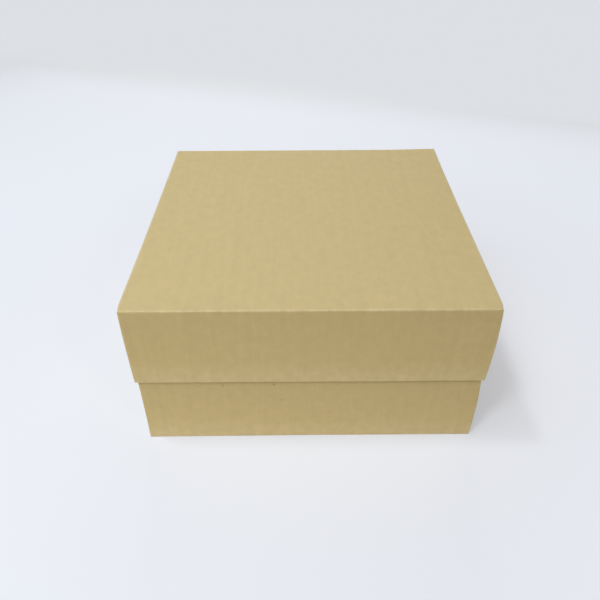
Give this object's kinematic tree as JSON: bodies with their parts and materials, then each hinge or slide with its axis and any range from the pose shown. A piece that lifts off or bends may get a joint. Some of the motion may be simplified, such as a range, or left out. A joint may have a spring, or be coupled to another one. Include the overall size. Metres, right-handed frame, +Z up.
{
  "type": "lidded box",
  "caption": "Square rigid box in plain kraft paper: a deep lid lifts off a tray base, both of greyboard taped at the corners, wrapped outside and lined inside.",
  "frame": {"origin": "centre of the base's underside, on the surface that the box stands on", "axes": "+X to the right as seen from the front, +Y to the back, +Z up, the way that the lid lifts off"},
  "size_m": [0.25, 0.25, 0.1255],
  "materials": {
    "kraft_wrap": "matt, unbleached kraft wrapping paper",
    "kraft_lining": "matt, unbleached kraft lining paper",
    "greyboard": "matt grey recycled board",
    "gummed_tape": "brown gummed paper tape"
  },
  "bodies": {
    "base": {"base_board": "greyboard", "base_wrap": "kraft_wrap", "base_lining": "kraft_lining", "base_stay_front_left": "gummed_tape", "base_stay_front_right": "gummed_tape", "base_stay_back_left": "gummed_tape", "base_stay_back_right": "gummed_tape"},
    "lid": {"lid_board": "greyboard", "lid_wrap": "kraft_wrap", "lid_lining": "kraft_lining", "lid_stay_front_left": "gummed_tape", "lid_stay_front_right": "gummed_tape", "lid_stay_back_left": "gummed_tape", "lid_stay_back_right": "gummed_tape"}
  },
  "joints": [
    {"name": "lid_lift", "type": "slide", "parent": "base", "child": "lid", "axis": [0, 0, 1], "range_m": [0, 0.15]}
  ]
}
